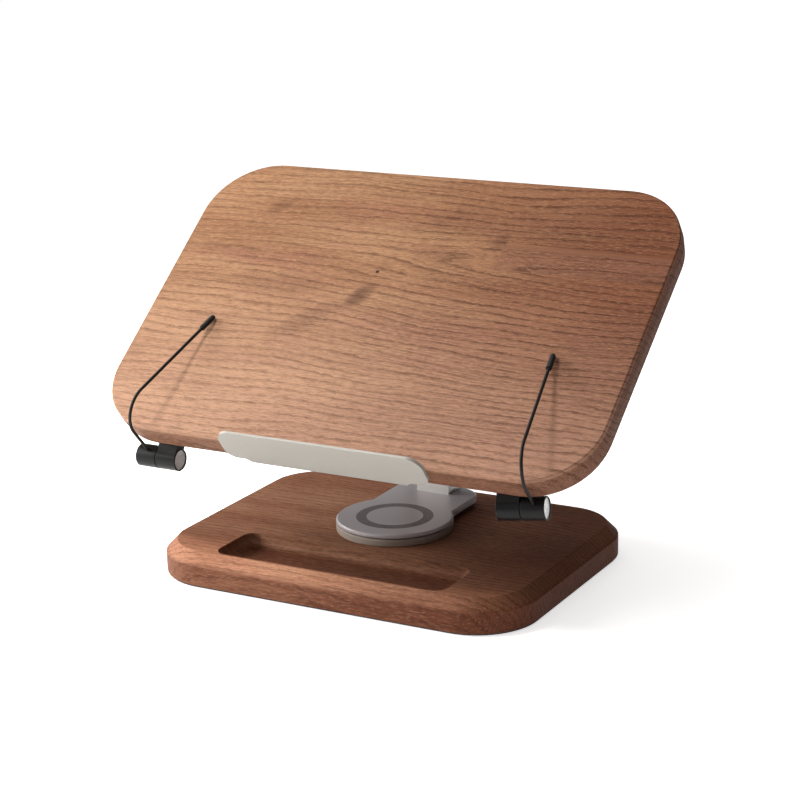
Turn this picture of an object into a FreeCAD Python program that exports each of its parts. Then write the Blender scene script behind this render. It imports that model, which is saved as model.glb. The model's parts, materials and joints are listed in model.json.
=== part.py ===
import FreeCAD, Part
import math
import os

from FreeCAD import Placement, Rotation, Vector

# Photo album stand, millimetres. +Z is up, +X to the right, the reader sits on the -Y side.
# The origin is the centre of the base's underside.

# ---- base ----
BASE_LENGTH = 257.0
BASE_WIDTH = 191.0
BASE_CORNER = 40.0
GRIP_THICKNESS = 1.0
GRIP_INSET = 1.2
BASE_TOP = 21.5
BASE_CHAMFER_WIDTH = 7.3
BASE_CHAMFER_HEIGHT = 7.5
BASE_ARRIS = 0.6

# ---- pen groove in the base ----
GROOVE_LENGTH = 161.0
GROOVE_WIDTH = 43.0
GROOVE_Y = -65.2
GROOVE_DEPTH = 8.5
GROOVE_CORNER = 9.0
GROOVE_COVE = 6.0

# ---- turntable ----
PIVOT_Y = 2.8
DISC_RADIUS = 37.5
DISC_TOP = 26.1
PLATE_BOTTOM = 26.5
PLATE_TOP = 29.3
PLATE_CHAMFER = 0.9
REBATE_HEIGHT = 0.7
REBATE_DEPTH = 1.6
HUB_RADIUS = 9.0
HUB_BOTTOM = 24.3
HUB_CLEARANCE = 0.3
DISC_FLOOR = 24.1
NECK_HALF_WIDTH = 29.5
NECK_REAR_Y = 72.3
NECK_CORNER = 16.0
NECK_FILLET = 1.5
NECK_BOTTOM = 25.4
NECK_CLEARANCE = 0.6
INLAY_INNER = 18.1
INLAY_OUTER = 24.8
INLAY_DEPTH = 1.0
SLIDE_RING_INNER = 14.0
SLIDE_RING_OUTER = 22.0
SLIDE_RING_BOTTOM = 25.1
DISC_SCREW_CIRCLE = 27.0
RUNNING_FIT = 0.05

# ---- pivot post and its nut, in a pocket under the base ----
POST_RADIUS = 5.0
POST_TOP = 28.1
POST_SHOULDER = 6.95
POST_THREAD_RADIUS = 4.0
POST_BOTTOM = 2.0
POCKET_RADIUS = 15.0
POCKET_TOP = 8.0
BASE_BORE_RADIUS = 6.5
WASHER_BOTTOM = 7.0
WASHER_INNER = 5.3
WASHER_OUTER = 13.0
NUT_BOTTOM = 2.4
NUT_TOP = 5.9
NUT_ACROSS_FLATS = 13.0
SPRING_SHEET = 0.5
SPRING_OUTER = 9.0

# ---- hinges ----
LOWER_AXIS_Y = 63.3
LOWER_AXIS_Z = 41.5
UPPER_AXIS_U = 85.0
UPPER_AXIS_N = -32.5
KNUCKLE_HALF_WIDTH = 11.75
KNUCKLE_RADIUS = 8.5
PIN_RADIUS = 4.0
BUSH_RADIUS = 5.5
ARM_HALF_WIDTH = 22.0
ARM_END_RADIUS = 8.0
ARM_HALF_THICKNESS = 4.5
ARM_FLARE = 22.0
SLOT_HALF_WIDTH = 12.75
SLOT_REACH = 11.0
SIDE_WASHER_THICKNESS = 0.8
PIN_SCREW_HEAD_RADIUS = 6.0
PIN_SCREW_HEAD_HEIGHT = 2.2
PIN_SCREW_HEAD_FILLET = 1.2
PIN_SCREW_SOCKET_CORNER = 2.0
PIN_SCREW_SOCKET_DEPTH = 1.2
PIN_SCREW_SHANK_RADIUS = 1.6
PIN_SCREW_DEPTH = 10.0
BLOCK_SCREW_X = 8.6
FOOT_THICKNESS = 5.0
FOOT_HALF_LENGTH = 20.0
FOOT_SCREW_REACH = 14.5

# ---- reading board: x along its width, u up its face, n out of its face ----
BOARD_TILT = 37.7
BOARD_FOOT = Vector(0, -86.9, 96.96)
BOARD_WIDTH = 340.0
BOARD_HEIGHT = 223.0
BOARD_CORNER = 45.0
BOARD_THICKNESS = 18.5
BOARD_BEVEL_START = 9.0
BOARD_BEVEL_INSET = 1.2

# ---- ledge: one bent sheet under and behind the board ----
SHEET = 2.0
LEDGE_FRONT_N = 9.7
LEDGE_HALF_WIDTH = 70.6
LEDGE_CORNER = 10.0
LEDGE_REAR_N = -15.8
LEDGE_REAR_CORNER = 7.5
NOTCH_HALF_WIDTH = 57.5
NOTCH_END_N = -18.4
FLANGE_HALF_WIDTH = 54.0
FLANGE_TOP_U = 120.0
FLANGE_CORNER = 15.0
BEND_RADIUS = 2.6
LEDGE_SCREW_X = 40.0
LEDGE_SCREW_U = (18.0, 62.0, 106.0)

# ---- page clips ----
CLIP_AXIS_U = -2.5
CLIP_AXIS_N = -27.9
CLIP_INNER_X = 111.3
CLIP_OUTER_X = 140.9
CLIP_SEAM_X = 126.1
CLIP_SEAM_GAP = 0.3
CLIP_RADIUS = 7.15
CAP_RADIUS = 6.3
CAP_RECESS = 0.6
CAP_THICKNESS = 1.0
AXLE_RADIUS = 2.5
AXLE_HEAD_RADIUS = 3.6
AXLE_HEAD_LENGTH = 1.2
AXLE_HEAD_POCKET = 4.0
SPRING_POCKET_RADIUS = 5.2
SPRING_POCKET_DEPTH = 4.35
COIL_RADIUS = 4.3
COIL_WIRE_RADIUS = 0.35
COIL_PITCH = 0.8
COIL_TURNS = 4
COIL_START_ANGLE = 75
MOUNT_PLATE = 3.0
MOUNT_PLATE_INNER_X = 111.7
MOUNT_PLATE_TOP_U = 46.0
MOUNT_PLATE_BOTTOM_U = 1.5
MOUNT_WEB_TOP_U = 16.0
MOUNT_WEB_FRONT = (-7.3, -22.8)
MOUNT_WEB_REAR = (4.4, -26.5)
MOUNT_SCREW_X = 118.8
MOUNT_SCREW_U = (24.0, 38.0)
# the right clip is fastened slightly askew: turned in the board's plane about its inner end
RIGHT_CLIP_ANGLE = 10

# ---- spring wires of the clips: (x, u, n) of each end and bend, and the bend's radius ----
WIRE_RADIUS = 1.0
TIP_RADIUS = 1.8
TIP_LENGTH = 11.5
LEFT_WIRE = [
    (-133.0, -2.5, -22.4),
    (-131.5, -5.9, 9.4, 16.9),
    (-129.0, 7.1, 21.1, 16.5),
    (-118.3, 88.3, 2.2),
]
RIGHT_WIRE = [
    (134.2, 0.2, -22.4),
    (138.4, -5.9, 9.4, 16.9),
    (136.3, 7.1, 21.1, 16.5),
    (121.2, 88.3, 2.2),
]

X_AXIS = Vector(1, 0, 0)
Y_AXIS = Vector(0, 1, 0)
Z_AXIS = Vector(0, 0, 1)
PIVOT = Vector(0, PIVOT_Y, 0)
LOWER_AXIS = Vector(0, LOWER_AXIS_Y, LOWER_AXIS_Z)
BOARD_FRAME = Placement(BOARD_FOOT, Rotation(X_AXIS, BOARD_TILT))
UPPER_AXIS = BOARD_FRAME.multVec(Vector(0, UPPER_AXIS_U, UPPER_AXIS_N))
ARM_VECTOR = UPPER_AXIS - LOWER_AXIS
ARM_LENGTH = ARM_VECTOR.Length
ARM_ANGLE = math.degrees(math.atan2(ARM_VECTOR.z, ARM_VECTOR.y))
ARM_FRAME = Placement(LOWER_AXIS, Rotation(X_AXIS, ARM_ANGLE))

nodes = {}


# ---------------------------------------------------------------- drawing helpers

def rounded_corner(last, corner, following, radius):
    """Start, middle and end of the arc that rounds a corner."""
    before = (last - corner).normalize()
    after = (following - corner).normalize()
    half = before.getAngle(after) / 2
    reach = radius / math.tan(half)
    bisector = (before + after).normalize()
    middle = corner + bisector * (radius / math.sin(half) - radius)
    return corner + before * reach, middle, corner + after * reach


def profile(points):
    """Closed face in the XY plane; each point is (x, y) or (x, y, corner radius)."""
    count = len(points)
    corners = [Vector(point[0], point[1], 0) for point in points]
    spans = []
    for index, point in enumerate(points):
        corner = corners[index]
        if len(point) == 2:
            spans.append((corner, None, corner))
            continue
        following = corners[(index + 1) % count]
        spans.append(rounded_corner(corners[index - 1], corner, following, point[2]))
    edges = []
    for index, (start, middle, end) in enumerate(spans):
        if middle is not None:
            edges.append(Part.Arc(start, middle, end).toShape())
        target = spans[(index + 1) % count][0]
        if (target - end).Length > 1e-5:
            edges.append(Part.LineSegment(end, target).toShape())
    return Part.Face(Part.Wire(edges))


def bent_path(points):
    """Open wire in space; each point is (x, y, z), inner points add a bend radius."""
    corners = [Vector(*point[:3]) for point in points]
    edges = []
    start = corners[0]
    for last, corner, following, point in zip(corners, corners[1:], corners[2:], points[1:]):
        bend_start, middle, bend_end = rounded_corner(last, corner, following, point[3])
        edges.append(Part.LineSegment(start, bend_start).toShape())
        edges.append(Part.Arc(bend_start, middle, bend_end).toShape())
        start = bend_end
    edges.append(Part.LineSegment(start, corners[-1]).toShape())
    return Part.Wire(edges)


def hexagon(corner_radius):
    angles = [math.radians(60 * side) for side in range(6)]
    return [(corner_radius * math.cos(angle), corner_radius * math.sin(angle)) for angle in angles]


def across_x(points, low_x, high_x):
    """Solid whose section in the (y, z) plane is the given profile, between two x values."""
    solid = profile(points).extrude(Vector(0, 0, high_x - low_x))
    solid.rotate(Vector(0, 0, 0), Vector(1, 1, 1), 120)
    solid.translate(Vector(low_x, 0, 0))
    return solid


def upright(points, low_z, high_z):
    """Solid whose section in the (x, y) plane is the given profile, between two heights."""
    solid = profile(points).extrude(Vector(0, 0, high_z - low_z))
    solid.translate(Vector(0, 0, low_z))
    return solid


def disc(radius, low_z, high_z, centre=Vector(0, 0, 0)):
    return Part.makeCylinder(radius, high_z - low_z, centre + Vector(0, 0, low_z))


def rod_x(radius, low_x, high_x, centre=Vector(0, 0, 0)):
    return Part.makeCylinder(radius, high_x - low_x, centre + Vector(low_x, 0, 0), X_AXIS)


def block(low, high):
    size = Vector(*high) - Vector(*low)
    return Part.makeBox(size.x, size.y, size.z, Vector(*low))


def rounded_slab(length, width, corner, section):
    """Round-cornered slab centred on the Z axis; section holds (outset from the corner's
    centre, z, radius) points, the first and last of them on the centre line."""
    half_x = length / 2 - corner
    half_y = width / 2 - corner
    face = profile(section)
    face.rotate(Vector(0, 0, 0), X_AXIS, 90)
    pieces = []
    for quarter, (x, y) in enumerate([(1, 1), (-1, 1), (-1, -1), (1, -1)]):
        turned = face.copy()
        turned.rotate(Vector(0, 0, 0), Z_AXIS, 90 * quarter)
        turned.translate(Vector(x * half_x, y * half_y, 0))
        pieces.append(turned.revolve(Vector(x * half_x, y * half_y, 0), Z_AXIS, 90))
        run = Vector(0, -2 * half_y * y, 0) if x == y else Vector(-2 * half_x * x, 0, 0)
        pieces.append(turned.extrude(run))
    heights = [point[1] for point in section]
    pieces.append(block((-half_x, -half_y, min(heights)), (half_x, half_y, max(heights))))
    return pieces[0].multiFuse(pieces[1:]).removeSplitter()


def screw_blank(head_radius, head_height, shank_radius, length, countersunk=True):
    """Screw envelope with its axis on Z; a countersunk head's top is at z = 0, a pan head
    stands on z = 0."""
    shank = disc(shank_radius, -length, 0)
    if countersunk:
        head = Part.makeCone(shank_radius, head_radius, head_height, Vector(0, 0, -head_height))
    else:
        head = disc(head_radius, 0, head_height)
        head = head.makeFillet(head_height * 0.6, [head.Edges[0]])
    return shank.fuse(head).removeSplitter()


def cross_recess(size, depth, top):
    arm = block((-size, -size / 5, top - depth), (size, size / 5, top + 1))
    other = arm.copy()
    other.rotate(Vector(0, 0, 0), Z_AXIS, 90)
    return arm.fuse(other)


def screw(head_radius, head_height, shank_radius, length, countersunk=True):
    top = 0.0 if countersunk else head_height
    recess = cross_recess(head_radius * 0.55, head_height * 0.6, top)
    return screw_blank(head_radius, head_height, shank_radius, length, countersunk).cut(recess)


def placed(shape, placement):
    result = shape.copy()
    result.Placement = placement.multiply(result.Placement)
    return result


def mirrored(shape):
    return shape.mirror(Vector(0, 0, 0), X_AXIS)


def drilled(solid, blank, placements):
    for placement in placements:
        solid = solid.cut(placed(blank, placement))
    return solid


def group(shape, placements):
    return Part.makeCompound([placed(shape, placement) for placement in placements])


def on_board(shape):
    return placed(shape, BOARD_FRAME)


# ---------------------------------------------------------------- screw patterns

DISC_SCREW = (3.4, 1.8, 1.8, 12.4)
BLOCK_SCREW = (3.0, 1.6, 1.5, 9.0)
LEDGE_SCREW = (3.2, 1.8, 1.5, 12.0)
FOOT_SCREW = (3.0, 1.6, 1.5, 15.0)
MOUNT_SCREW = (3.4, 2.0, 1.6, 13.0)

disc_screw_places = [
    Placement(PIVOT + Rotation(Z_AXIS, angle).multVec(Vector(DISC_SCREW_CIRCLE, 0, DISC_TOP - 0.2)),
              Rotation(Z_AXIS, angle))
    for angle in (45, 135, 225, 315)
]
upside_down = Rotation(X_AXIS, 180)
block_screw_places = [
    Placement(Vector(x, LOWER_AXIS_Y, NECK_BOTTOM + 0.1), upside_down)
    for x in (-BLOCK_SCREW_X, BLOCK_SCREW_X)
]
ledge_screw_places = [
    Placement(Vector(x, u, -BOARD_THICKNESS - SHEET), upside_down)
    for x in (-LEDGE_SCREW_X, LEDGE_SCREW_X) for u in LEDGE_SCREW_U
]
foot_face_n = -BOARD_THICKNESS - SHEET - FOOT_THICKNESS
foot_screw_places = [
    Placement(Vector(0, u, foot_face_n), upside_down)
    for u in (UPPER_AXIS_U - FOOT_SCREW_REACH, UPPER_AXIS_U + FOOT_SCREW_REACH)
]
right_clip_turn = Placement(Vector(0, 0, 0), Rotation(Z_AXIS, RIGHT_CLIP_ANGLE),
                            Vector(CLIP_INNER_X, CLIP_AXIS_U, 0))
left_mount_screws, straight_mount_screws = [
    [Placement(Vector(x, u, -BOARD_THICKNESS - MOUNT_PLATE), upside_down) for u in MOUNT_SCREW_U]
    for x in (-MOUNT_SCREW_X, MOUNT_SCREW_X)
]
mount_screw_places = left_mount_screws + [right_clip_turn * place for place in straight_mount_screws]


# ---------------------------------------------------------------- base

base_section = [
    (0, GRIP_THICKNESS),
    (BASE_CORNER, GRIP_THICKNESS, BASE_ARRIS),
    (BASE_CORNER, BASE_TOP - BASE_CHAMFER_HEIGHT, BASE_ARRIS),
    (BASE_CORNER - BASE_CHAMFER_WIDTH, BASE_TOP, BASE_ARRIS),
    (0, BASE_TOP),
]
base_board = rounded_slab(BASE_LENGTH, BASE_WIDTH, BASE_CORNER, base_section)

groove_floor = BASE_TOP - GROOVE_DEPTH
groove_section = [
    (0, groove_floor),
    (GROOVE_CORNER, groove_floor, GROOVE_COVE),
    (GROOVE_CORNER, BASE_TOP + 2),
    (0, BASE_TOP + 2),
]
groove = rounded_slab(GROOVE_LENGTH, GROOVE_WIDTH, GROOVE_CORNER, groove_section)
groove.translate(Vector(0, GROOVE_Y, 0))
base_board = base_board.cut(groove)
base_board = base_board.cut(disc(BASE_BORE_RADIUS, 0, BASE_TOP + 1, PIVOT))
base_board = base_board.cut(disc(POCKET_RADIUS, 0, POCKET_TOP, PIVOT))
base_board = drilled(base_board, screw_blank(*DISC_SCREW), disc_screw_places)
nodes["base_board"] = base_board

grip_corner = BASE_CORNER - GRIP_INSET
grip_section = [(0, 0), (grip_corner, 0), (grip_corner, GRIP_THICKNESS), (0, GRIP_THICKNESS)]
nodes["grip_sheet"] = rounded_slab(
    BASE_LENGTH - 2 * GRIP_INSET, BASE_WIDTH - 2 * GRIP_INSET, grip_corner, grip_section)

turntable_disc = disc(DISC_RADIUS, BASE_TOP, DISC_TOP, PIVOT)
turntable_disc = turntable_disc.makeChamfer(0.5, turntable_disc.Edges)
turntable_disc = turntable_disc.cut(disc(POST_RADIUS + RUNNING_FIT, 0, 30, PIVOT))
turntable_disc = turntable_disc.cut(disc(HUB_RADIUS + HUB_CLEARANCE, DISC_FLOOR, 30, PIVOT))
slide_groove = disc(SLIDE_RING_OUTER, SLIDE_RING_BOTTOM, 30, PIVOT)
slide_groove = slide_groove.cut(disc(SLIDE_RING_INNER, 0, 40, PIVOT))
turntable_disc = turntable_disc.cut(slide_groove)
nodes["turntable_disc"] = drilled(turntable_disc, screw_blank(*DISC_SCREW), disc_screw_places)
nodes["disc_screws"] = group(screw(*DISC_SCREW), disc_screw_places)

slide_ring = disc(SLIDE_RING_OUTER, SLIDE_RING_BOTTOM, PLATE_BOTTOM - RUNNING_FIT, PIVOT)
nodes["slide_ring"] = slide_ring.cut(disc(SLIDE_RING_INNER, 0, 40, PIVOT))
thrust_washer = disc(WASHER_OUTER, WASHER_BOTTOM, POCKET_TOP, PIVOT)
nodes["thrust_washer"] = thrust_washer.cut(disc(WASHER_INNER, 0, 20, PIVOT))


# ---------------------------------------------------------------- turning plate

def keyhole_outline():
    """Disc with a parallel neck to the rear and small fillets where they meet."""
    fillet_x = NECK_HALF_WIDTH + NECK_FILLET
    reach = DISC_RADIUS + NECK_FILLET
    fillet_y = math.sqrt(reach ** 2 - fillet_x ** 2)
    fillet_centre = Vector(fillet_x, fillet_y, 0)
    on_disc = fillet_centre * (DISC_RADIUS / reach)
    on_neck = Vector(NECK_HALF_WIDTH, fillet_y, 0)
    inward = ((on_disc + on_neck) * 0.5 - fillet_centre).normalize()
    halfway = fillet_centre + inward * NECK_FILLET
    rear = NECK_REAR_Y - PIVOT_Y
    corner = Vector(NECK_HALF_WIDTH - NECK_CORNER, rear - NECK_CORNER, 0)
    diagonal = Vector(1, 1, 0).normalize() * NECK_CORNER

    def flip(point):
        return Vector(-point.x, point.y, 0)

    side = Vector(NECK_HALF_WIDTH, corner.y, 0)
    back = Vector(corner.x, rear, 0)
    edges = [
        Part.Arc(on_disc, Vector(0, -DISC_RADIUS, 0), flip(on_disc)).toShape(),
        Part.Arc(on_disc, halfway, on_neck).toShape(),
        Part.LineSegment(on_neck, side).toShape(),
        Part.Arc(side, corner + diagonal, back).toShape(),
        Part.LineSegment(back, flip(back)).toShape(),
        Part.Arc(flip(back), flip(corner + diagonal), flip(side)).toShape(),
        Part.LineSegment(flip(side), flip(on_neck)).toShape(),
        Part.Arc(flip(on_neck), flip(halfway), flip(on_disc)).toShape(),
    ]
    return Part.Face(Part.Wire(Part.__sortEdges__(edges)))


# the neck is thicker than the plate: beyond the disc's edge it reaches further down
plate = keyhole_outline().extrude(Vector(0, 0, PLATE_TOP - NECK_BOTTOM))
plate.translate(PIVOT + Vector(0, 0, NECK_BOTTOM))
plate = plate.cut(disc(DISC_RADIUS + NECK_CLEARANCE, 0, PLATE_BOTTOM, PIVOT))
# shadow gap: a shallow rebate round the plate's lower edge
rebate = disc(DISC_RADIUS + NECK_CLEARANCE, PLATE_BOTTOM, PLATE_BOTTOM + REBATE_HEIGHT, PIVOT)
plate = plate.cut(rebate.cut(disc(DISC_RADIUS - REBATE_DEPTH, 0, PLATE_TOP, PIVOT)))
top_edges = [edge for edge in plate.Edges if edge.BoundBox.ZMin > PLATE_TOP - 0.01]
plate = plate.makeChamfer(PLATE_CHAMFER, top_edges)
inlay = disc(INLAY_OUTER, PLATE_TOP - INLAY_DEPTH, PLATE_TOP, PIVOT)
inlay = inlay.cut(disc(INLAY_INNER, 0, 40, PIVOT))
plate = plate.cut(inlay)
plate = plate.fuse(disc(HUB_RADIUS, HUB_BOTTOM, PLATE_BOTTOM, PIVOT))
plate = plate.cut(disc(POST_RADIUS, 0, POST_TOP, PIVOT))
nodes["swivel_plate"] = drilled(plate, screw_blank(*BLOCK_SCREW), block_screw_places)
nodes["ring_inlay"] = inlay

post = disc(POST_RADIUS, POST_SHOULDER, POST_TOP, PIVOT)
nodes["pivot_post"] = post.fuse(disc(POST_THREAD_RADIUS, POST_BOTTOM, POST_SHOULDER, PIVOT))

spring_rise = WASHER_BOTTOM - RUNNING_FIT - SPRING_SHEET - NUT_TOP
spring_section = Part.Face(Part.makePolygon([
    PIVOT + Vector(POST_THREAD_RADIUS, 0, NUT_TOP),
    PIVOT + Vector(SPRING_OUTER, 0, NUT_TOP + spring_rise),
    PIVOT + Vector(SPRING_OUTER, 0, NUT_TOP + spring_rise + SPRING_SHEET),
    PIVOT + Vector(POST_THREAD_RADIUS, 0, NUT_TOP + SPRING_SHEET),
    PIVOT + Vector(POST_THREAD_RADIUS, 0, NUT_TOP),
]))
nodes["disc_spring"] = spring_section.revolve(PIVOT, Z_AXIS, 360)

nut = upright(hexagon(NUT_ACROSS_FLATS / math.sqrt(3)), NUT_BOTTOM, NUT_TOP)
nut.translate(PIVOT)
nodes["pivot_nut"] = nut.cut(disc(POST_THREAD_RADIUS, 0, 20, PIVOT))


# ---------------------------------------------------------------- lower hinge block

def hinge_bush(centre):
    tube = rod_x(BUSH_RADIUS, -KNUCKLE_HALF_WIDTH, KNUCKLE_HALF_WIDTH, centre)
    return tube.cut(rod_x(PIN_RADIUS + RUNNING_FIT, -50, 50, centre))


lower_block = across_x([
    (LOWER_AXIS_Y - KNUCKLE_RADIUS, PLATE_TOP),
    (LOWER_AXIS_Y + KNUCKLE_RADIUS, PLATE_TOP),
    (LOWER_AXIS_Y + KNUCKLE_RADIUS, LOWER_AXIS_Z + KNUCKLE_RADIUS, KNUCKLE_RADIUS),
    (LOWER_AXIS_Y - KNUCKLE_RADIUS, LOWER_AXIS_Z + KNUCKLE_RADIUS, KNUCKLE_RADIUS),
], -KNUCKLE_HALF_WIDTH, KNUCKLE_HALF_WIDTH)
lower_block = lower_block.cut(rod_x(BUSH_RADIUS, -50, 50, LOWER_AXIS))
nodes["lower_hinge_block"] = drilled(lower_block, screw_blank(*BLOCK_SCREW), block_screw_places)
nodes["lower_hinge_bush"] = hinge_bush(LOWER_AXIS)
nodes["block_screws"] = group(screw(*BLOCK_SCREW), block_screw_places)


# ---------------------------------------------------------------- arm, pins and washers

def hinge_pin(centre):
    pin = rod_x(PIN_RADIUS, -ARM_HALF_WIDTH, ARM_HALF_WIDTH, centre)
    hole = rod_x(PIN_SCREW_SHANK_RADIUS, ARM_HALF_WIDTH - PIN_SCREW_DEPTH, ARM_HALF_WIDTH, centre)
    return pin.cut(hole).cut(mirrored(hole))


def pin_screw(centre):
    head = rod_x(PIN_SCREW_HEAD_RADIUS, ARM_HALF_WIDTH, ARM_HALF_WIDTH + PIN_SCREW_HEAD_HEIGHT)
    rim = [edge for edge in head.Edges if edge.BoundBox.XMin > ARM_HALF_WIDTH + 1]
    head = head.makeFillet(PIN_SCREW_HEAD_FILLET, rim)
    shank = rod_x(PIN_SCREW_SHANK_RADIUS, ARM_HALF_WIDTH - PIN_SCREW_DEPTH, ARM_HALF_WIDTH)
    socket_floor = ARM_HALF_WIDTH + PIN_SCREW_HEAD_HEIGHT - PIN_SCREW_SOCKET_DEPTH
    socket = across_x(hexagon(PIN_SCREW_SOCKET_CORNER), socket_floor, socket_floor + 5)
    fitted = head.fuse(shank).removeSplitter().cut(socket)
    fitted.translate(centre)
    return fitted


def side_washer(centre):
    washer = rod_x(ARM_END_RADIUS, SLOT_HALF_WIDTH - SIDE_WASHER_THICKNESS, SLOT_HALF_WIDTH, centre)
    return washer.cut(rod_x(PIN_RADIUS, -50, 50, centre))


arm_waist = ARM_HALF_THICKNESS
arm_end = Vector(0, ARM_LENGTH, 0)
arm = across_x([
    (0, -ARM_END_RADIUS),
    (ARM_FLARE, -arm_waist, 20),
    (ARM_LENGTH - ARM_FLARE, -arm_waist, 20),
    (ARM_LENGTH, -ARM_END_RADIUS),
    (ARM_LENGTH, ARM_END_RADIUS),
    (ARM_LENGTH - ARM_FLARE, arm_waist, 20),
    (ARM_FLARE, arm_waist, 20),
    (0, ARM_END_RADIUS),
], -ARM_HALF_WIDTH, ARM_HALF_WIDTH)
arm = arm.fuse(rod_x(ARM_END_RADIUS, -ARM_HALF_WIDTH, ARM_HALF_WIDTH))
arm = arm.fuse(rod_x(ARM_END_RADIUS, -ARM_HALF_WIDTH, ARM_HALF_WIDTH, arm_end))
arm = arm.removeSplitter()
lower_slot = block((-SLOT_HALF_WIDTH, -20, -20), (SLOT_HALF_WIDTH, SLOT_REACH, 20))
upper_slot = lower_slot.copy()
upper_slot.translate(Vector(0, ARM_LENGTH - SLOT_REACH + 20, 0))
pin_bores = [rod_x(PIN_RADIUS, -50, 50, centre) for centre in (Vector(0, 0, 0), arm_end)]
for hollow in [lower_slot, upper_slot] + pin_bores:
    arm = arm.cut(hollow)
nodes["arm"] = placed(arm, ARM_FRAME)
nodes["lower_hinge_pin"] = hinge_pin(LOWER_AXIS)
nodes["upper_hinge_pin"] = hinge_pin(UPPER_AXIS)
washers = [side_washer(centre) for centre in (LOWER_AXIS, UPPER_AXIS)]
nodes["hinge_washers"] = Part.makeCompound(washers + [mirrored(washer) for washer in washers])
screws = [pin_screw(centre) for centre in (LOWER_AXIS, UPPER_AXIS)]
nodes["pin_screws"] = Part.makeCompound(screws + [mirrored(item) for item in screws])


# ---------------------------------------------------------------- reading board

board_section = [
    (0, -BOARD_THICKNESS),
    (BOARD_CORNER - BOARD_BEVEL_INSET - 0.2, -BOARD_THICKNESS, 1.6),
    (BOARD_CORNER, -BOARD_BEVEL_START, 2.0),
    (BOARD_CORNER, 0, 1.0),
    (0, 0),
]
board = rounded_slab(BOARD_WIDTH, BOARD_HEIGHT, BOARD_CORNER, board_section)
board.translate(Vector(0, BOARD_HEIGHT / 2, 0))
for blank, places in (
    (screw_blank(*LEDGE_SCREW, countersunk=False), ledge_screw_places),
    (screw_blank(*FOOT_SCREW), foot_screw_places),
    (screw_blank(*MOUNT_SCREW), mount_screw_places),
):
    board = drilled(board, blank, places)
nodes["reading_board"] = on_board(board)


# ---------------------------------------------------------------- ledge sheet

flange_back_n = -BOARD_THICKNESS - SHEET
ledge_side = [
    (-SHEET, LEDGE_FRONT_N, 0.4),
    (-SHEET, flange_back_n, BEND_RADIUS),
    (FLANGE_TOP_U, flange_back_n),
    (FLANGE_TOP_U, -BOARD_THICKNESS),
    (0, -BOARD_THICKNESS, BEND_RADIUS - SHEET),
    (0, LEDGE_FRONT_N, 0.4),
]
ledge = across_x(ledge_side, -LEDGE_HALF_WIDTH, LEDGE_HALF_WIDTH)
plan = [
    (-LEDGE_HALF_WIDTH, LEDGE_FRONT_N, LEDGE_CORNER),
    (LEDGE_HALF_WIDTH, LEDGE_FRONT_N, LEDGE_CORNER),
    (LEDGE_HALF_WIDTH, LEDGE_REAR_N, LEDGE_REAR_CORNER),
    (NOTCH_HALF_WIDTH, LEDGE_REAR_N, 2.0),
    (FLANGE_HALF_WIDTH, NOTCH_END_N, 2.0),
    (FLANGE_HALF_WIDTH, flange_back_n - 1),
    (-FLANGE_HALF_WIDTH, flange_back_n - 1),
    (-FLANGE_HALF_WIDTH, NOTCH_END_N, 2.0),
    (-NOTCH_HALF_WIDTH, LEDGE_REAR_N, 2.0),
    (-LEDGE_HALF_WIDTH, LEDGE_REAR_N, LEDGE_REAR_CORNER),
]
plan_prism = profile(plan).extrude(Vector(0, 0, FLANGE_TOP_U + 20))
plan_prism.rotate(Vector(0, 0, 0), X_AXIS, 90)
plan_prism.translate(Vector(0, FLANGE_TOP_U + 10, 0))
back_outline = upright([
    (-LEDGE_HALF_WIDTH - 1, -SHEET - 1),
    (LEDGE_HALF_WIDTH + 1, -SHEET - 1),
    (LEDGE_HALF_WIDTH + 1, 1),
    (FLANGE_HALF_WIDTH, 1),
    (FLANGE_HALF_WIDTH, FLANGE_TOP_U, FLANGE_CORNER),
    (-FLANGE_HALF_WIDTH, FLANGE_TOP_U, FLANGE_CORNER),
    (-FLANGE_HALF_WIDTH, 1),
    (-LEDGE_HALF_WIDTH - 1, 1),
], flange_back_n - 1, LEDGE_FRONT_N + 1)
ledge = ledge.common(plan_prism).common(back_outline)
ledge = drilled(ledge, screw_blank(*LEDGE_SCREW, countersunk=False), ledge_screw_places)
ledge = drilled(ledge, screw_blank(*FOOT_SCREW), foot_screw_places)
nodes["ledge_sheet"] = on_board(ledge)
nodes["ledge_screws"] = on_board(group(screw(*LEDGE_SCREW, countersunk=False), ledge_screw_places))


# ---------------------------------------------------------------- upper hinge block

upper_axis_local = Vector(0, UPPER_AXIS_U, UPPER_AXIS_N)
low_u = UPPER_AXIS_U - KNUCKLE_RADIUS
high_u = UPPER_AXIS_U + KNUCKLE_RADIUS
knuckle_end = UPPER_AXIS_N - KNUCKLE_RADIUS
upper_block = across_x([
    (UPPER_AXIS_U - FOOT_HALF_LENGTH, flange_back_n),
    (UPPER_AXIS_U - FOOT_HALF_LENGTH, foot_face_n, 1.5),
    (low_u, foot_face_n, 1.0),
    (low_u, knuckle_end, KNUCKLE_RADIUS),
    (high_u, knuckle_end, KNUCKLE_RADIUS),
    (high_u, foot_face_n, 1.0),
    (UPPER_AXIS_U + FOOT_HALF_LENGTH, foot_face_n, 1.5),
    (UPPER_AXIS_U + FOOT_HALF_LENGTH, flange_back_n),
], -KNUCKLE_HALF_WIDTH, KNUCKLE_HALF_WIDTH)
upper_block = upper_block.cut(rod_x(BUSH_RADIUS, -50, 50, upper_axis_local))
upper_block = drilled(upper_block, screw_blank(*FOOT_SCREW), foot_screw_places)
nodes["upper_hinge_block"] = on_board(upper_block)
nodes["upper_hinge_bush"] = hinge_bush(UPPER_AXIS)
nodes["upper_block_screws"] = on_board(group(screw(*FOOT_SCREW), foot_screw_places))


# ---------------------------------------------------------------- page clips

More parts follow.
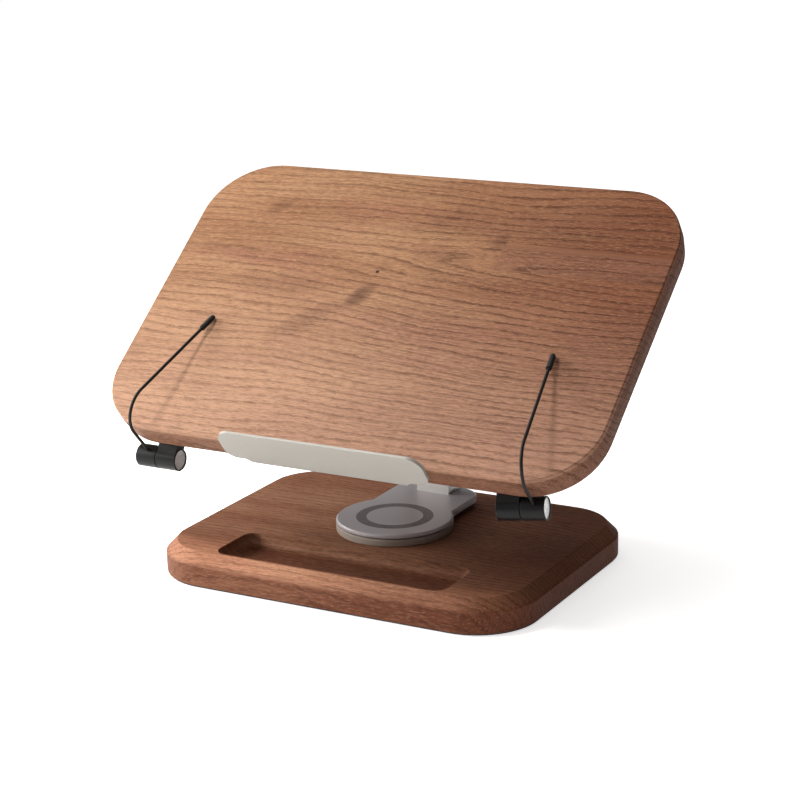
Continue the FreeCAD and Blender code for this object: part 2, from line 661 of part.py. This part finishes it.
clip_axis = Vector(0, CLIP_AXIS_U, CLIP_AXIS_N)
mount_end_x = CLIP_SEAM_X - CLIP_SEAM_GAP / 2
barrel_start_x = CLIP_SEAM_X + CLIP_SEAM_GAP / 2
mount_cap_end = CLIP_INNER_X + CAP_RECESS + CAP_THICKNESS
barrel_cap_start = CLIP_OUTER_X - CAP_RECESS - CAP_THICKNESS
axle_head_end = barrel_cap_start - 0.2
axle_head_start = axle_head_end - AXLE_HEAD_LENGTH


def clip_cylinder(low_x, high_x):
    """Barrel half with both end arrises slightly rounded."""
    barrel = rod_x(CLIP_RADIUS, low_x, high_x, clip_axis)
    rims = [edge for edge in barrel.Edges if edge.BoundBox.XLength < 0.01]
    return barrel.makeFillet(0.4, rims)


def clip_mount():
    barrel = clip_cylinder(CLIP_INNER_X, mount_end_x)
    web = across_x([
        MOUNT_WEB_FRONT,
        (MOUNT_PLATE_BOTTOM_U, -BOARD_THICKNESS),
        (MOUNT_WEB_TOP_U, -BOARD_THICKNESS),
        (MOUNT_WEB_TOP_U, -BOARD_THICKNESS - MOUNT_PLATE),
        MOUNT_WEB_REAR,
        (CLIP_AXIS_U, CLIP_AXIS_N),
    ], CLIP_INNER_X + 0.4, mount_end_x - 0.4)
    plate_low = -BOARD_THICKNESS - MOUNT_PLATE
    back_plate = upright([
        (MOUNT_PLATE_INNER_X, MOUNT_PLATE_BOTTOM_U, 1.5),
        (mount_end_x, MOUNT_PLATE_BOTTOM_U, 1.5),
        (mount_end_x, MOUNT_PLATE_TOP_U, 6.0),
        (MOUNT_PLATE_INNER_X, MOUNT_PLATE_TOP_U, 6.0),
    ], plate_low, -BOARD_THICKNESS)
    mount = barrel.fuse(web).fuse(back_plate).removeSplitter()
    mount = mount.cut(rod_x(CAP_RADIUS, CLIP_INNER_X - 1, mount_cap_end, clip_axis))
    mount = mount.cut(rod_x(AXLE_RADIUS, CLIP_INNER_X, mount_end_x + 1, clip_axis))
    return drilled(mount, screw_blank(*MOUNT_SCREW), straight_mount_screws)


def clip_barrel():
    barrel = clip_cylinder(barrel_start_x, CLIP_OUTER_X)
    hollows = (
        rod_x(CAP_RADIUS, barrel_cap_start, CLIP_OUTER_X + 1, clip_axis),
        rod_x(AXLE_HEAD_POCKET, axle_head_start - 0.2, CLIP_OUTER_X, clip_axis),
        rod_x(AXLE_RADIUS + RUNNING_FIT, barrel_start_x - 1, CLIP_OUTER_X, clip_axis),
        rod_x(SPRING_POCKET_RADIUS, barrel_start_x - 1, barrel_start_x + SPRING_POCKET_DEPTH, clip_axis),
    )
    for hollow in hollows:
        barrel = barrel.cut(hollow)
    return barrel


def clip_axle():
    stem = rod_x(AXLE_RADIUS, mount_cap_end, axle_head_end, clip_axis)
    return stem.fuse(rod_x(AXLE_HEAD_RADIUS, axle_head_start, axle_head_end, clip_axis))


def coil_spring():
    helix = Part.makeHelix(COIL_PITCH, COIL_PITCH * COIL_TURNS, COIL_RADIUS)
    start = Part.Wire(Part.makeCircle(COIL_WIRE_RADIUS, Vector(COIL_RADIUS, 0, 0), Y_AXIS))
    coil = Part.Wire(helix.Edges).makePipeShell([start], True, True)
    coil.rotate(Vector(0, 0, 0), Y_AXIS, 90)
    coil.rotate(Vector(0, 0, 0), X_AXIS, COIL_START_ANGLE)
    coil.translate(clip_axis + Vector(barrel_start_x + COIL_WIRE_RADIUS + 0.35, 0, 0))
    return coil


def clip_wire(points):
    """Spring wire and the soft sleeve on its end, from inside the barrel to the board's face."""
    path = bent_path(points)
    end = Vector(*points[-1])
    heading = (end - Vector(*points[-2][:3])).normalize()
    start = Vector(*points[0])
    first_heading = (Vector(*points[1][:3]) - start).normalize()
    circle = Part.makeCircle(WIRE_RADIUS, start, first_heading)
    wire = path.makePipeShell([Part.Wire(circle)], True, False)
    tip = Part.makeCylinder(TIP_RADIUS, TIP_LENGTH, end - heading * TIP_LENGTH, heading)
    tip = tip.fuse(Part.makeSphere(TIP_RADIUS, end)).removeSplitter()
    return wire, tip.cut(wire)


mount = clip_mount()
barrel = clip_barrel()
barrel_cap = rod_x(CAP_RADIUS, barrel_cap_start, CLIP_OUTER_X - CAP_RECESS, clip_axis)
mount_cap = rod_x(CAP_RADIUS, CLIP_INNER_X + CAP_RECESS, mount_cap_end, clip_axis)
for side, points in (("left", LEFT_WIRE), ("right", RIGHT_WIRE)):
    wire, tip = clip_wire(points)
    pieces = {
        "clip_mount": mount,
        "mount_cap": mount_cap,
        "clip_axle": clip_axle(),
        "clip_barrel": barrel,
        "clip_cap": barrel_cap,
        "clip_spring": coil_spring(),
    }
    for name, piece in pieces.items():
        shape = mirrored(piece) if side == "left" else placed(piece, right_clip_turn)
        if name == "clip_barrel":
            shape = shape.cut(wire)
        nodes[side + "_" + name] = on_board(shape)
    nodes[side + "_clip_wire"] = on_board(wire)
    nodes[side + "_clip_tip"] = on_board(tip)
nodes["clip_mount_screws"] = on_board(group(screw(*MOUNT_SCREW), mount_screw_places))


# ---------------------------------------------------------------- one STEP file per node

os.makedirs("parts", exist_ok=True)
for name, shape in nodes.items():
    shape.exportStep("parts/" + name + ".step")
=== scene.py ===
import json
import math

import bpy
from mathutils import Matrix, Vector

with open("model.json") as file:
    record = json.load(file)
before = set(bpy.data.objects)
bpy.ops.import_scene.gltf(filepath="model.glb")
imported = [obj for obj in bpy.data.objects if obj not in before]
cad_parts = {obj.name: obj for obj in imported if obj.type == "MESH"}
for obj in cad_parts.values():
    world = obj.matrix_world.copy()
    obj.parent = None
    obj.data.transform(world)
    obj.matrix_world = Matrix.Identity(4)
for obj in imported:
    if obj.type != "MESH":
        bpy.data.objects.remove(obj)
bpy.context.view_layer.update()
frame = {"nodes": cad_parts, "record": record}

# Reading board: tilt from the horizontal and the foot of its face, in metres.
BOARD_TILT = math.radians(37.7)
BOARD_FOOT = Vector((0.0, -0.0869, 0.09696))

# Centre of the turntable's disc, in metres.
DISC_CENTRE = (0.0, 0.0028, 0.0)

MM_PER_METRE = 1000.0

# Noise in the walnut: cycles per mm along the grain, across it and through the thickness.
SLOW_WAVES = (0.005, 0.014, 0.014)
MIDDLE_WAVES = (0.016, 0.055, 0.055)
JAGGED_EDGES = (0.20, 0.55, 0.55)
LINE_CHOICE = (0.007, 0.035, 0.035)
LINE_STRENGTH = (0.03, 0.16, 0.16)
FIBRES = (0.09, 1.7, 1.7)
FLECKS = (0.20, 1.25, 1.25)
PORES = (0.22, 3.2, 3.2)
COLOUR_DRIFT = (0.006, 0.028, 0.028)
PINK_BLUSH = (0.010, 0.045, 0.045)

# How far each wave bends the rings, in mm, and how far the thickness shifts them per mm.
SLOW_REACH = 22.0
MIDDLE_REACH = 7.0
JAG_REACH = 3.0
STAVE_REACH = 3.1
RING_SLANT = 0.45

# A glued-in stave has its own figure, taken from this far away, and soft joints, in mm.
STAVE_SHIFT = 137.0
STAVE_END_JOINT = 0.5
STAVE_LOW_JOINT = 0.4
STAVE_HIGH_JOINT = 3.0

# Narrow lines between the broad rings: their spacing as a share, and both offsets in mm.
NARROW_SHARE = 0.41
BROAD_OFFSET = 400.0
NARROW_OFFSET = 400.7

# Gloss of the wood, and depths of the surface reliefs in metres.
WOOD_SPECULAR = 0.13
WOOD_RELIEF = 0.00012
METAL_RELIEF = 0.00003
COAT_RELIEF = 0.00006
TURNED_RINGS_PER_METRE = 5200.0

# Floor and backdrop, in metres.
FLOOR_HALF = 6.0
FLOOR_DROP = 0.0004
BACKDROP_DROP = 0.0005
FLOOR_GLOW = 0.64

# Studio walls: direction of the bright side, and the light's level away from and towards it.
BRIGHT_SIDE = (-0.62, -0.36, 0.70)
WALL_LEVELS = {"From Min": -0.2, "From Max": 0.95, "To Min": 0.03, "To Max": 0.62}
LIGHT_TARGET = Vector((0.0, 0.0, 0.1))

# Camera: position, point it looks at, roll and lens.
CAMERA_EYE = Vector((0.6433, -1.1434, 0.4821))
CAMERA_AIM = Vector((0.0119, -0.0082, 0.1105))
CAMERA_ROLL = math.radians(-1.34)
CAMERA_LENS = 97.825
CAMERA_SENSOR = 36.0
CAMERA_CLIP_END = 50.0


def srgb(red, green, blue):
    """Linear colour from 8-bit display values."""
    def linear(value):
        value /= 255.0
        return value / 12.92 if value <= 0.04045 else ((value + 0.055) / 1.055) ** 2.4
    return (linear(red), linear(green), linear(blue))


# ------------------------------------------------------------------ node helper

class Shade:
    """Builds one procedural material node by node."""

    def __init__(self, name):
        self.material = bpy.data.materials.new(name)
        self.material.use_nodes = True
        self.tree = self.material.node_tree
        self.bsdf = self.tree.nodes["Principled BSDF"]

    def node(self, kind, inputs=None, **settings):
        node = self.tree.nodes.new(kind)
        for key, value in settings.items():
            setattr(node, key, value)
        for key, value in (inputs or {}).items():
            self.feed(node.inputs[key], value)
        return node

    def feed(self, socket, value):
        if isinstance(value, bpy.types.NodeSocket):
            self.tree.links.new(value, socket)
        else:
            socket.default_value = value

    def place(self, rotation=(0, 0, 0), location=(0, 0, 0)):
        coordinates = self.node("ShaderNodeTexCoord").outputs["Object"]
        mapping = self.node("ShaderNodeMapping", {
            "Vector": coordinates, "Rotation": rotation, "Location": location})
        return mapping.outputs["Vector"]

    def scaled(self, vector, factors, offset=(0, 0, 0)):
        mapping = self.node("ShaderNodeMapping", {
            "Vector": vector, "Scale": factors, "Location": offset})
        return mapping.outputs["Vector"]

    def noise(self, vector, detail=2.0, roughness=0.5):
        return self.node("ShaderNodeTexNoise", {
            "Vector": vector, "Scale": 1.0, "Detail": detail,
            "Roughness": roughness}).outputs["Fac"]

    def math(self, operation, first, second=0.0):
        node = self.node("ShaderNodeMath", operation=operation)
        for socket, value in zip(node.inputs, (first, second)):
            self.feed(socket, value)
        return node.outputs[0]

    def add(self, first, second):
        return self.math("ADD", first, second)

    def subtract(self, first, second):
        return self.math("SUBTRACT", first, second)

    def multiply(self, first, second):
        return self.math("MULTIPLY", first, second)

    def remap(self, value, low, high, out_low=0.0, out_high=1.0, smooth=True):
        return self.node("ShaderNodeMapRange", {
            "Value": value, "From Min": low, "From Max": high,
            "To Min": out_low, "To Max": out_high},
            interpolation_type="SMOOTHSTEP" if smooth else "LINEAR").outputs["Result"]

    def mix(self, factor, first, second):
        node = self.node("ShaderNodeMix", data_type="RGBA")
        for index, value in ((0, factor), (6, first), (7, second)):
            self.feed(node.inputs[index], value)
        return node.outputs[2]

    def tint(self, under, factor, colour):
        return self.mix(factor, under, (*colour, 1))

    def bump(self, height, strength, distance):
        normal = self.node("ShaderNodeBump", {
            "Height": height, "Strength": strength, "Distance": distance}).outputs["Normal"]
        self.feed(self.bsdf.inputs["Normal"], normal)

    def set(self, **inputs):
        for key, value in inputs.items():
            self.feed(self.bsdf.inputs[key.replace("_", " ")], value)


# ------------------------------------------------------------------ walnut

def stave_mask(s, x, u, staves):
    """1 inside the staves, 0 elsewhere."""
    mask = 0.0
    for end_x, low_u, high_u in staves:
        across = s.multiply(
            s.remap(u, low_u - STAVE_LOW_JOINT, low_u + STAVE_LOW_JOINT),
            s.remap(u, high_u + STAVE_HIGH_JOINT, high_u - STAVE_HIGH_JOINT))
        along = s.remap(x, end_x - STAVE_END_JOINT, end_x + STAVE_END_JOINT)
        mask = s.add(mask, s.multiply(across, along))
    return mask


def ring_height(s, x, u, n, waves, fan):
    """Height on the board, in mm, bent by the waves and by the fan."""
    start_x, end_x, drop, low_u, crown_u = fan
    below = s.multiply(s.remap(u, low_u, crown_u - 12.0), s.remap(u, crown_u + 7.0, crown_u - 6.0))
    falling = s.multiply(s.remap(x, start_x, end_x), below)
    ring = s.add(u, s.multiply(falling, drop))
    ring = s.add(ring, s.multiply(n, RING_SLANT))
    for wave, reach in waves:
        ring = s.add(ring, s.multiply(wave, reach))
    return ring


def ring_lines(s, ring, step, offset, start):
    """Dark latewood lines: each grows from its start, a share of the step, and ends sharply."""
    turn = s.math("FRACT", s.math("DIVIDE", s.add(ring, offset), step))
    return s.multiply(s.remap(turn, start, 0.90), s.remap(turn, 1.0, 0.92))


def blot(s, x, u, centre, radii, lean=0.0):
    """Soft leaning ellipse: 1 in its middle, 0 outside."""
    du = s.subtract(u, centre[1])
    dx = s.subtract(s.subtract(x, centre[0]), s.multiply(du, lean))
    square = s.add(s.math("POWER", s.math("DIVIDE", dx, radii[0]), 2.0),
                   s.math("POWER", s.math("DIVIDE", du, radii[1]), 2.0))
    return s.remap(square, 1.0, 0.0)


def walnut(name, tilt, foot, tones, painted_sheen, painted_right_shade, painted_edge_shade, flecks, fan, spacing,
           staves, smudges, knots, seed):
    """Flat-sawn walnut with its grain along X, lengths in mm in the board's own plane.

    x runs along the board, u up it from the foot and n out of its face.
    tones: the dark, middle, light and pink colours.
    painted_sheen: (start u, end u, strength, colour) of the painted sheen, paler wood where the
    gloss of the light falls.
    painted_right_shade: (start x, end x, colour) of the painted shade that the tones drift to,
    darker towards the right.
    painted_edge_shade: (start n, end n, strength, colour) of the painted shade on edges and
    hollows.
    flecks: the strength of the light flecks.
    fan: (start x, end x, drop, low u, crown u), where the rings drop to the right below a
    crown and close into arches.
    spacing: the distance between the rings.
    staves: (end x, low u, high u) of each stave glued in, from end x to the right.
    smudges: (x, u, radius x, radius u, lean, strength).
    knots: (x, u, radius).
    seed: how far the figure is shifted along the grain.
    """
    s = Shade(name)
    turned = Matrix.Rotation(-tilt, 3, "X") @ (-Vector(foot))
    local = s.place(rotation=(-tilt, 0, 0), location=turned)
    mm = s.scaled(local, (MM_PER_METRE,) * 3)
    x, u, n = s.node("ShaderNodeSeparateXYZ", {"Vector": mm}).outputs

    stave = stave_mask(s, x, u, staves)
    shift = s.multiply(stave, STAVE_SHIFT)
    grain = s.node("ShaderNodeCombineXYZ", {
        "X": s.add(x, s.add(shift, seed)), "Y": s.add(u, shift), "Z": n}).outputs[0]

    # rings: slow waves, jagged edges and the fan
    slow = s.noise(s.scaled(grain, SLOW_WAVES), detail=1.0)
    middle = s.noise(s.scaled(grain, MIDDLE_WAVES))
    jag = s.noise(s.scaled(grain, JAGGED_EDGES), detail=3.0, roughness=0.62)
    waves = ((slow, SLOW_REACH), (middle, MIDDLE_REACH), (jag, JAG_REACH), (stave, STAVE_REACH))
    ring = ring_height(s, x, u, n, waves, fan)
    choose = s.noise(s.scaled(grain, LINE_CHOICE, (3.0, 1.0, 2.0)))
    strength = s.noise(s.scaled(grain, LINE_STRENGTH, (8.0, 2.0, 5.0)), detail=3.0)
    broad = s.multiply(ring_lines(s, ring, spacing, BROAD_OFFSET, 0.50),
                       s.remap(strength, 0.30, 0.60, 0.30, 1.0))
    narrow = s.multiply(ring_lines(s, ring, spacing * NARROW_SHARE, NARROW_OFFSET, 0.10),
                        s.remap(choose, 0.42, 0.60, 0.05, 0.55))
    joint = s.math("ABSOLUTE", s.subtract(stave, 0.5))
    late = s.multiply(s.math("MAXIMUM", broad, narrow), s.remap(joint, 0.3, 0.5, 0.4, 1.0))

    # fibres, flecks, pores and colour drift
    fibre = s.noise(s.scaled(grain, FIBRES), detail=4.0, roughness=0.7)
    fleck = s.noise(s.scaled(grain, FLECKS), detail=3.0, roughness=0.66)
    pores = s.remap(s.noise(s.scaled(grain, PORES)), 0.58, 0.74)
    drift = s.noise(s.scaled(grain, COLOUR_DRIFT, (1.0, 7.0, 0.0)), detail=3.0)
    blush = s.noise(s.scaled(grain, PINK_BLUSH, (5.0, 3.0, 1.0)))

    # broad colours, with a painted sheen and painted shade
    dark, mid, light, pink = [Vector(tone) for tone in tones]
    right_shade_start, right_shade_end, right_shade_colour = painted_right_shade
    sheen_start, sheen_end, sheen_strength, sheen_colour = painted_sheen
    edge_shade_start, edge_shade_end, edge_shade_strength, edge_shade_colour = painted_edge_shade
    wood = s.mix(s.remap(drift, 0.30, 0.70), (*mid, 1), (*light, 1))
    wood = s.tint(wood, s.remap(blush, 0.45, 0.75, 0.0, 0.60), pink)
    # painted shade: darker and warmer towards the right, the side away from the light
    wood = s.tint(wood, s.remap(x, right_shade_start, right_shade_end, 0.0, 0.80), right_shade_colour)
    # painted sheen: paler wood where the gloss of the light falls, towards the foot
    wood = s.tint(wood, s.remap(u, sheen_start, sheen_end, 0.0, sheen_strength), sheen_colour)
    wood = s.tint(wood, s.remap(stave, 0.0, 1.0, 0.0, 0.55), pink * 0.78)
    # painted shade: darker on the edges and in hollows, below the face
    wood = s.tint(wood, s.remap(n, edge_shade_start, edge_shade_end, 0.0, edge_shade_strength), edge_shade_colour)

    # lines (stronger to the right and upwards), fibres, flecks and pores
    weight = s.multiply(s.remap(x, -80.0, 120.0, 0.52, 0.80), s.remap(u, 0.0, 130.0, 0.74, 1.0))
    wood = s.tint(wood, s.multiply(late, weight), dark)
    wood = s.tint(wood, s.remap(fibre, 0.35, 0.75, 0.0, 0.46), dark)
    wood = s.tint(wood, s.remap(fleck, 0.50, 0.70, 0.0, flecks), light * 1.30)
    wood = s.tint(wood, s.remap(fleck, 0.48, 0.30, 0.0, 0.42), dark)
    wood = s.tint(wood, s.multiply(pores, 0.40), dark * 0.55)

    # smudges and knots
    ragged = s.remap(s.add(fibre, middle), 0.70, 1.25, 0.35, 1.0)
    for smudge_x, smudge_u, radius_x, radius_u, lean, smudge_strength in smudges:
        patch = blot(s, x, u, (smudge_x, smudge_u), (radius_x, radius_u), lean)
        wood = s.tint(wood, s.multiply(s.multiply(patch, ragged), smudge_strength), dark)
    for knot_x, knot_u, radius in knots:
        wood = s.tint(wood, blot(s, x, u, (knot_x, knot_u), (radius, radius)), dark * 0.45)

    dryness = s.remap(s.add(fibre, s.multiply(late, 0.3)), 0.2, 1.1, 0.60, 0.78)
    s.set(Base_Color=wood, Roughness=dryness, Specular_IOR_Level=WOOD_SPECULAR)
    relief = s.subtract(s.multiply(fibre, 0.35), pores)
    relief = s.subtract(relief, s.multiply(late, 0.35))
    s.bump(relief, 0.35, WOOD_RELIEF)
    return s.material


# ------------------------------------------------------------------ metals, black parts, rubber

def brushed(name, colour, roughness, centre=None, grain=(1, 1, 1), metallic=1.0):
    """Satin metal: turned in rings round a centre, or else drawn along an axis."""
    s = Shade(name)
    place = s.place()
    if centre is None:
        fine = s.noise(s.scaled(place, [MM_PER_METRE * value for value in grain]),
                       detail=3.0, roughness=0.7)
    else:
        offset = s.place(location=[-value for value in centre])
        radius = s.node("ShaderNodeVectorMath", {0: offset}, operation="LENGTH").outputs["Value"]
        rings = s.node("ShaderNodeCombineXYZ", {
            "X": s.multiply(radius, TURNED_RINGS_PER_METRE)}).outputs[0]
        fine = s.noise(rings, roughness=0.7)
    cloud = s.noise(s.scaled(place, (28, 28, 28)), detail=3.0)
    tone = s.add(s.multiply(fine, 0.10), s.multiply(cloud, 0.06))
    darker = [value * 0.86 for value in colour]
    lighter = [min(1.0, value * 1.05) for value in colour]
    s.set(
        Base_Color=s.mix(s.remap(tone, 0.0, 0.16, smooth=False), (*darker, 1), (*lighter, 1)),
        Metallic=metallic,
        Roughness=s.remap(s.add(fine, cloud), 0.6, 1.4, roughness * 0.88, roughness * 1.12))
    s.bump(fine, 0.2, METAL_RELIEF)
    return s.material


def coated(name, colour, roughness, grain=900.0, depth=0.25, metallic=0.0, speck=0.25, sheen=0.4):
    """Powder-coated, moulded or rubber surface with a fine pebbled skin."""
    s = Shade(name)
    place = s.place()
    fine = s.noise(s.scaled(place, (grain, grain, grain)), roughness=0.6)
    cloud = s.noise(s.scaled(place, (60, 60, 60)), detail=3.0)
    lighter = [value * (1 + speck) + 0.002 for value in colour]
    darker = [value * (1 - speck) for value in colour]
    tone = s.add(s.multiply(fine, 0.7), s.multiply(cloud, 0.3))
    s.set(
        Base_Color=s.mix(s.remap(tone, 0.3, 0.7), (*darker, 1), (*lighter, 1)),
        Metallic=metallic,
        Specular_IOR_Level=sheen,
        Roughness=s.remap(cloud, 0.3, 0.7, roughness * 0.9, roughness * 1.1))
    s.bump(fine, depth, COAT_RELIEF)
    return s.material


looks = {
    "walnut_board": walnut(
        "walnut_board", BOARD_TILT, BOARD_FOOT,
        tones=(srgb(56, 28, 15), srgb(130, 91, 63), srgb(152, 115, 84), srgb(131, 87, 68)),
        # painted sheen, paler towards the foot of the board
        painted_sheen=(165.0, -10.0, 0.50, srgb(190, 150, 127)),
        # painted shade, darker towards the right
        painted_right_shade=(-60.0, 185.0, srgb(102, 48, 23)),
        # painted shade, darker on the edges behind the face
        painted_edge_shade=(-1.0, -4.0, 0.64, srgb(82, 39, 20)),
        flecks=0.34,
        fan=(-70.0, 130.0, 20.0, 10.0, 156.0),
        spacing=6.0,
        staves=[(58.0, 150.5, 170.5)],
        smudges=[
            (-24, 120, 9, 13, 0.5, 0.70),
            (-52, 97, 17, 22, 1.0, 0.36),
            (54, 172, 7, 9, 0.2, 0.55),
            (-92, 124, 44, 11, 0.0, 0.26),
            (22, 188, 34, 14, 0.3, 0.22),
            (96, 192, 60, 20, 0.3, 0.22),
            (-112, 188, 9, 10, 0.9, 0.34),
            (-150, 148, 60, 5, 0.0, 0.25)],
        knots=[(-20.1, 140.1, 1.7)],
        seed=11.0),
    "walnut_base": walnut(
        "walnut_base", 0.0, (0, 0, 0),
        tones=(srgb(56, 27, 14), srgb(154, 104, 77), srgb(181, 133, 103), srgb(142, 89, 66)),
        # painted sheen, faintly paler towards the front
        painted_sheen=(-60.0, -90.0, 0.04, srgb(213, 158, 122)),
        # painted shade, darker towards the right, where the board shades the base
        painted_right_shade=(-80.0, 120.0, srgb(94, 50, 29)),
        # painted shade, darker on the walls and in the groove below the top
        painted_edge_shade=(16.5, 12.5, 0.76, srgb(82, 37, 18)),
        flecks=0.14,
        fan=(-60.0, 150.0, 16.0, -60.0, 60.0),
        spacing=4.6,
        staves=[],
        smudges=[(-20, -30, 40, 10, 0.0, 0.3)],
        knots=[],
        seed=431.0),
    "grip": coated("grip", (0.012, 0.012, 0.012), 0.8),
    "disc_metal": brushed(
        "disc_metal", (0.38, 0.32, 0.27), 0.42, centre=DISC_CENTRE, metallic=0.25),
    "plate_metal": brushed(
        "plate_metal", (0.56, 0.52, 0.535), 0.37, grain=(0.03, 1.6, 1.6), metallic=0.5),
    "inlay": coated("inlay", (0.165, 0.145, 0.148), 0.5, metallic=0.2),
    "ledge_metal": coated(
        "ledge_metal", (0.298, 0.281, 0.251), 0.62,
        grain=1500.0, depth=0.1, metallic=0.08, speck=0.04),
    "arm_metal": brushed(
        "arm_metal", (0.42, 0.40, 0.385), 0.40, grain=(1.6, 0.03, 0.03), metallic=0.5),
    "block_metal": brushed(
        "block_metal", (0.80, 0.78, 0.75), 0.42, grain=(0.05, 1.6, 1.6), metallic=0.35),
    "steel": brushed("steel", (0.55, 0.55, 0.56), 0.28, grain=(2.0, 0.2, 0.2)),
    "screw_steel": coated("screw_steel", (0.03, 0.03, 0.032), 0.35, metallic=0.8),
    "spring_steel": brushed("spring_steel", (0.45, 0.45, 0.47), 0.3),
    "bronze": brushed("bronze", (0.55, 0.38, 0.18), 0.4),
    "slide_plastic": coated("slide_plastic", (0.75, 0.75, 0.72), 0.5),
    "clip_black": coated(
        "clip_black", (0.004, 0.0036, 0.0036), 0.42, grain=1400.0, depth=0.12, sheen=0.17),
    "wire_black": coated(
        "wire_black", (0.006, 0.0045, 0.004), 0.45, grain=1800.0, depth=0.08, sheen=0.18),
    "cap_silver": coated(
        "cap_silver", (0.52, 0.51, 0.50), 0.34, grain=1900.0, depth=0.9, metallic=0.9, speck=0.45),
    "tip_rubber": coated("tip_rubber", (0.006, 0.006, 0.006), 0.5, sheen=0.25),
}
slot_of = {entry["node"]: entry["material_slot"] for entry in frame["record"]["subparts"]}
for name, node in frame["nodes"].items():
    node.data.materials.clear()
    node.data.materials.append(looks[slot_of[name]])


# ------------------------------------------------------------------ stage, lights and camera

def stage_piece(name, points, faces, shade):
    mesh = bpy.data.meshes.new(name)
    mesh.from_pydata(points, [], faces)
    mesh.materials.append(shade.material)
    piece = bpy.data.objects.new(name, mesh)
    bpy.context.collection.objects.link(piece)
    return piece


corners = [(-FLOOR_HALF, -FLOOR_HALF), (FLOOR_HALF, -FLOOR_HALF),
           (FLOOR_HALF, FLOOR_HALF), (-FLOOR_HALF, FLOOR_HALF)]
floor_look = Shade("floor")
floor_tone = floor_look.noise(floor_look.scaled(floor_look.place(), (3, 3, 3)))
floor_look.set(
    Base_Color=floor_look.mix(floor_tone, (0.93, 0.93, 0.93, 1), (0.95, 0.95, 0.95, 1)),
    Roughness=0.9, Emission_Color=(1.0, 1.0, 1.0, 1.0), Emission_Strength=FLOOR_GLOW)
floor = stage_piece("floor", [(x, y, -FLOOR_DROP) for x, y in corners], [(0, 1, 2, 3)], floor_look)

# pale backdrop behind the floor, which lights nothing
backdrop_look = Shade("backdrop")
backdrop_look.set(Base_Color=(0.0, 0.0, 0.0, 1.0), Roughness=1.0,
                  Emission_Color=(1.0, 1.0, 1.0, 1.0), Emission_Strength=1.0)
walls = [(i, (i + 1) % 4, (i + 1) % 4 + 4, i + 4) for i in range(4)]
ceiling = (4, 5, 6, 7)
backdrop = stage_piece(
    "backdrop", [(x, y, z) for z in (-BACKDROP_DROP, 2 * FLOOR_HALF) for x, y in corners],
    walls + [ceiling], backdrop_look)
backdrop.visible_diffuse = False
backdrop.visible_glossy = False
backdrop.visible_transmission = False
backdrop.visible_shadow = False

# the studio's walls: light towards the left and overhead, dark towards the right
world = bpy.data.worlds.new("studio")
world.use_nodes = True
tree = world.node_tree
background = tree.nodes["Background"]
background.inputs["Color"].default_value = (1.0, 1.0, 1.0, 1.0)
towards = tree.nodes.new("ShaderNodeTexCoord")
facing = tree.nodes.new("ShaderNodeVectorMath")
facing.operation = "DOT_PRODUCT"
facing.inputs[1].default_value = BRIGHT_SIDE
level_range = tree.nodes.new("ShaderNodeMapRange")
level_range.interpolation_type = "SMOOTHSTEP"
for socket, value in WALL_LEVELS.items():
    level_range.inputs[socket].default_value = value
tree.links.new(towards.outputs["Generated"], facing.inputs[0])
tree.links.new(facing.outputs["Value"], level_range.inputs["Value"])
tree.links.new(level_range.outputs["Result"], background.inputs["Strength"])

scene = bpy.context.scene
scene.world = world
scene.view_settings.view_transform = "Standard"


def softbox(name, direction, distance, size, power, colour=(1, 1, 1)):
    light = bpy.data.lights.new(name, "AREA")
    light.shape = "RECTANGLE"
    light.size, light.size_y = size
    light.energy = power
    light.color = colour
    holder = bpy.data.objects.new(name, light)
    bpy.context.collection.objects.link(holder)
    way = Vector(direction).normalized()
    holder.location = LIGHT_TARGET + way * distance
    holder.rotation_euler = (-way).to_track_quat("-Z", "Y").to_euler()


softbox("key", (-0.42, -0.28, 0.864), 0.79, (0.2, 0.2), 5.6, (1.0, 0.985, 0.96))
softbox("side", (-0.85, -0.32, 0.30), 1.0, (0.6, 0.4), 13.0, (1.0, 0.99, 0.98))
softbox("top", (-0.25, 0.35, 0.90), 2.2, (1.6, 1.2), 5.0)

camera_data = bpy.data.cameras.new("camera")
camera_data.lens = CAMERA_LENS
camera_data.sensor_width = CAMERA_SENSOR
camera_data.clip_end = CAMERA_CLIP_END
camera = bpy.data.objects.new("camera", camera_data)
bpy.context.collection.objects.link(camera)
forward = (CAMERA_AIM - CAMERA_EYE).normalized()
level = forward.cross(Vector((0, 0, 1))).normalized()
rise = level.cross(forward)
right = level * math.cos(CAMERA_ROLL) + rise * math.sin(CAMERA_ROLL)
up = rise * math.cos(CAMERA_ROLL) - level * math.sin(CAMERA_ROLL)
turn = Matrix((right, up, -forward)).transposed().to_4x4()
camera.matrix_world = Matrix.Translation(CAMERA_EYE) @ turn
scene.camera = camera
